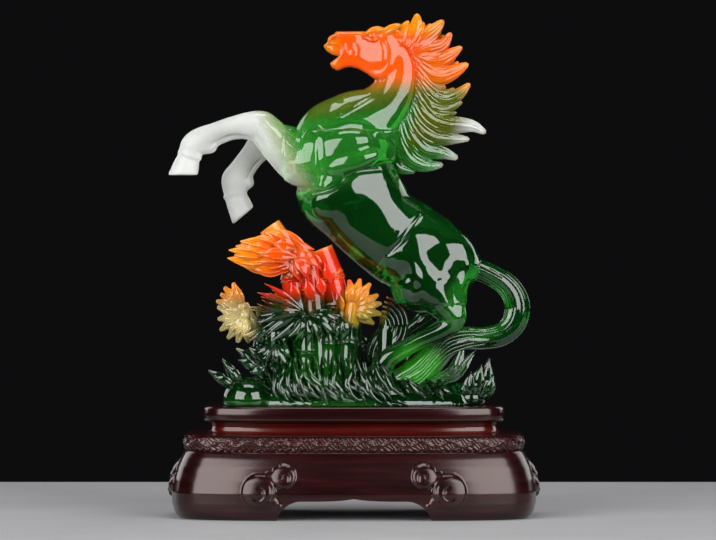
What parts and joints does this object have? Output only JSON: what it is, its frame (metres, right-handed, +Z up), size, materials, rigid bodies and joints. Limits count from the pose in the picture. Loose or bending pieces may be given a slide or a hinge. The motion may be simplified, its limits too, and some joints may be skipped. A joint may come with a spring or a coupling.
{
  "type": "crystal horse figurine",
  "caption": "Rearing horse of coloured cast glass among bamboo, flowers and grass, resting on a carved dark lacquered wooden stand.",
  "frame": {"origin": "middle of the stand's footprint, on the surface that it stands on", "axes": "+Z up; the horse faces -X; its near side, the front of the stand, faces -Y"},
  "size_m": [0.28, 0.1438, 0.3756],
  "materials": {
    "crystal": "polished cast glass, orange, green and frosted white",
    "lacquered_wood": "high-gloss dark burgundy lacquer"
  },
  "bodies": {
    "root": {"horse_figure": "crystal", "stand": "lacquered_wood"}
  },
  "joints": []
}
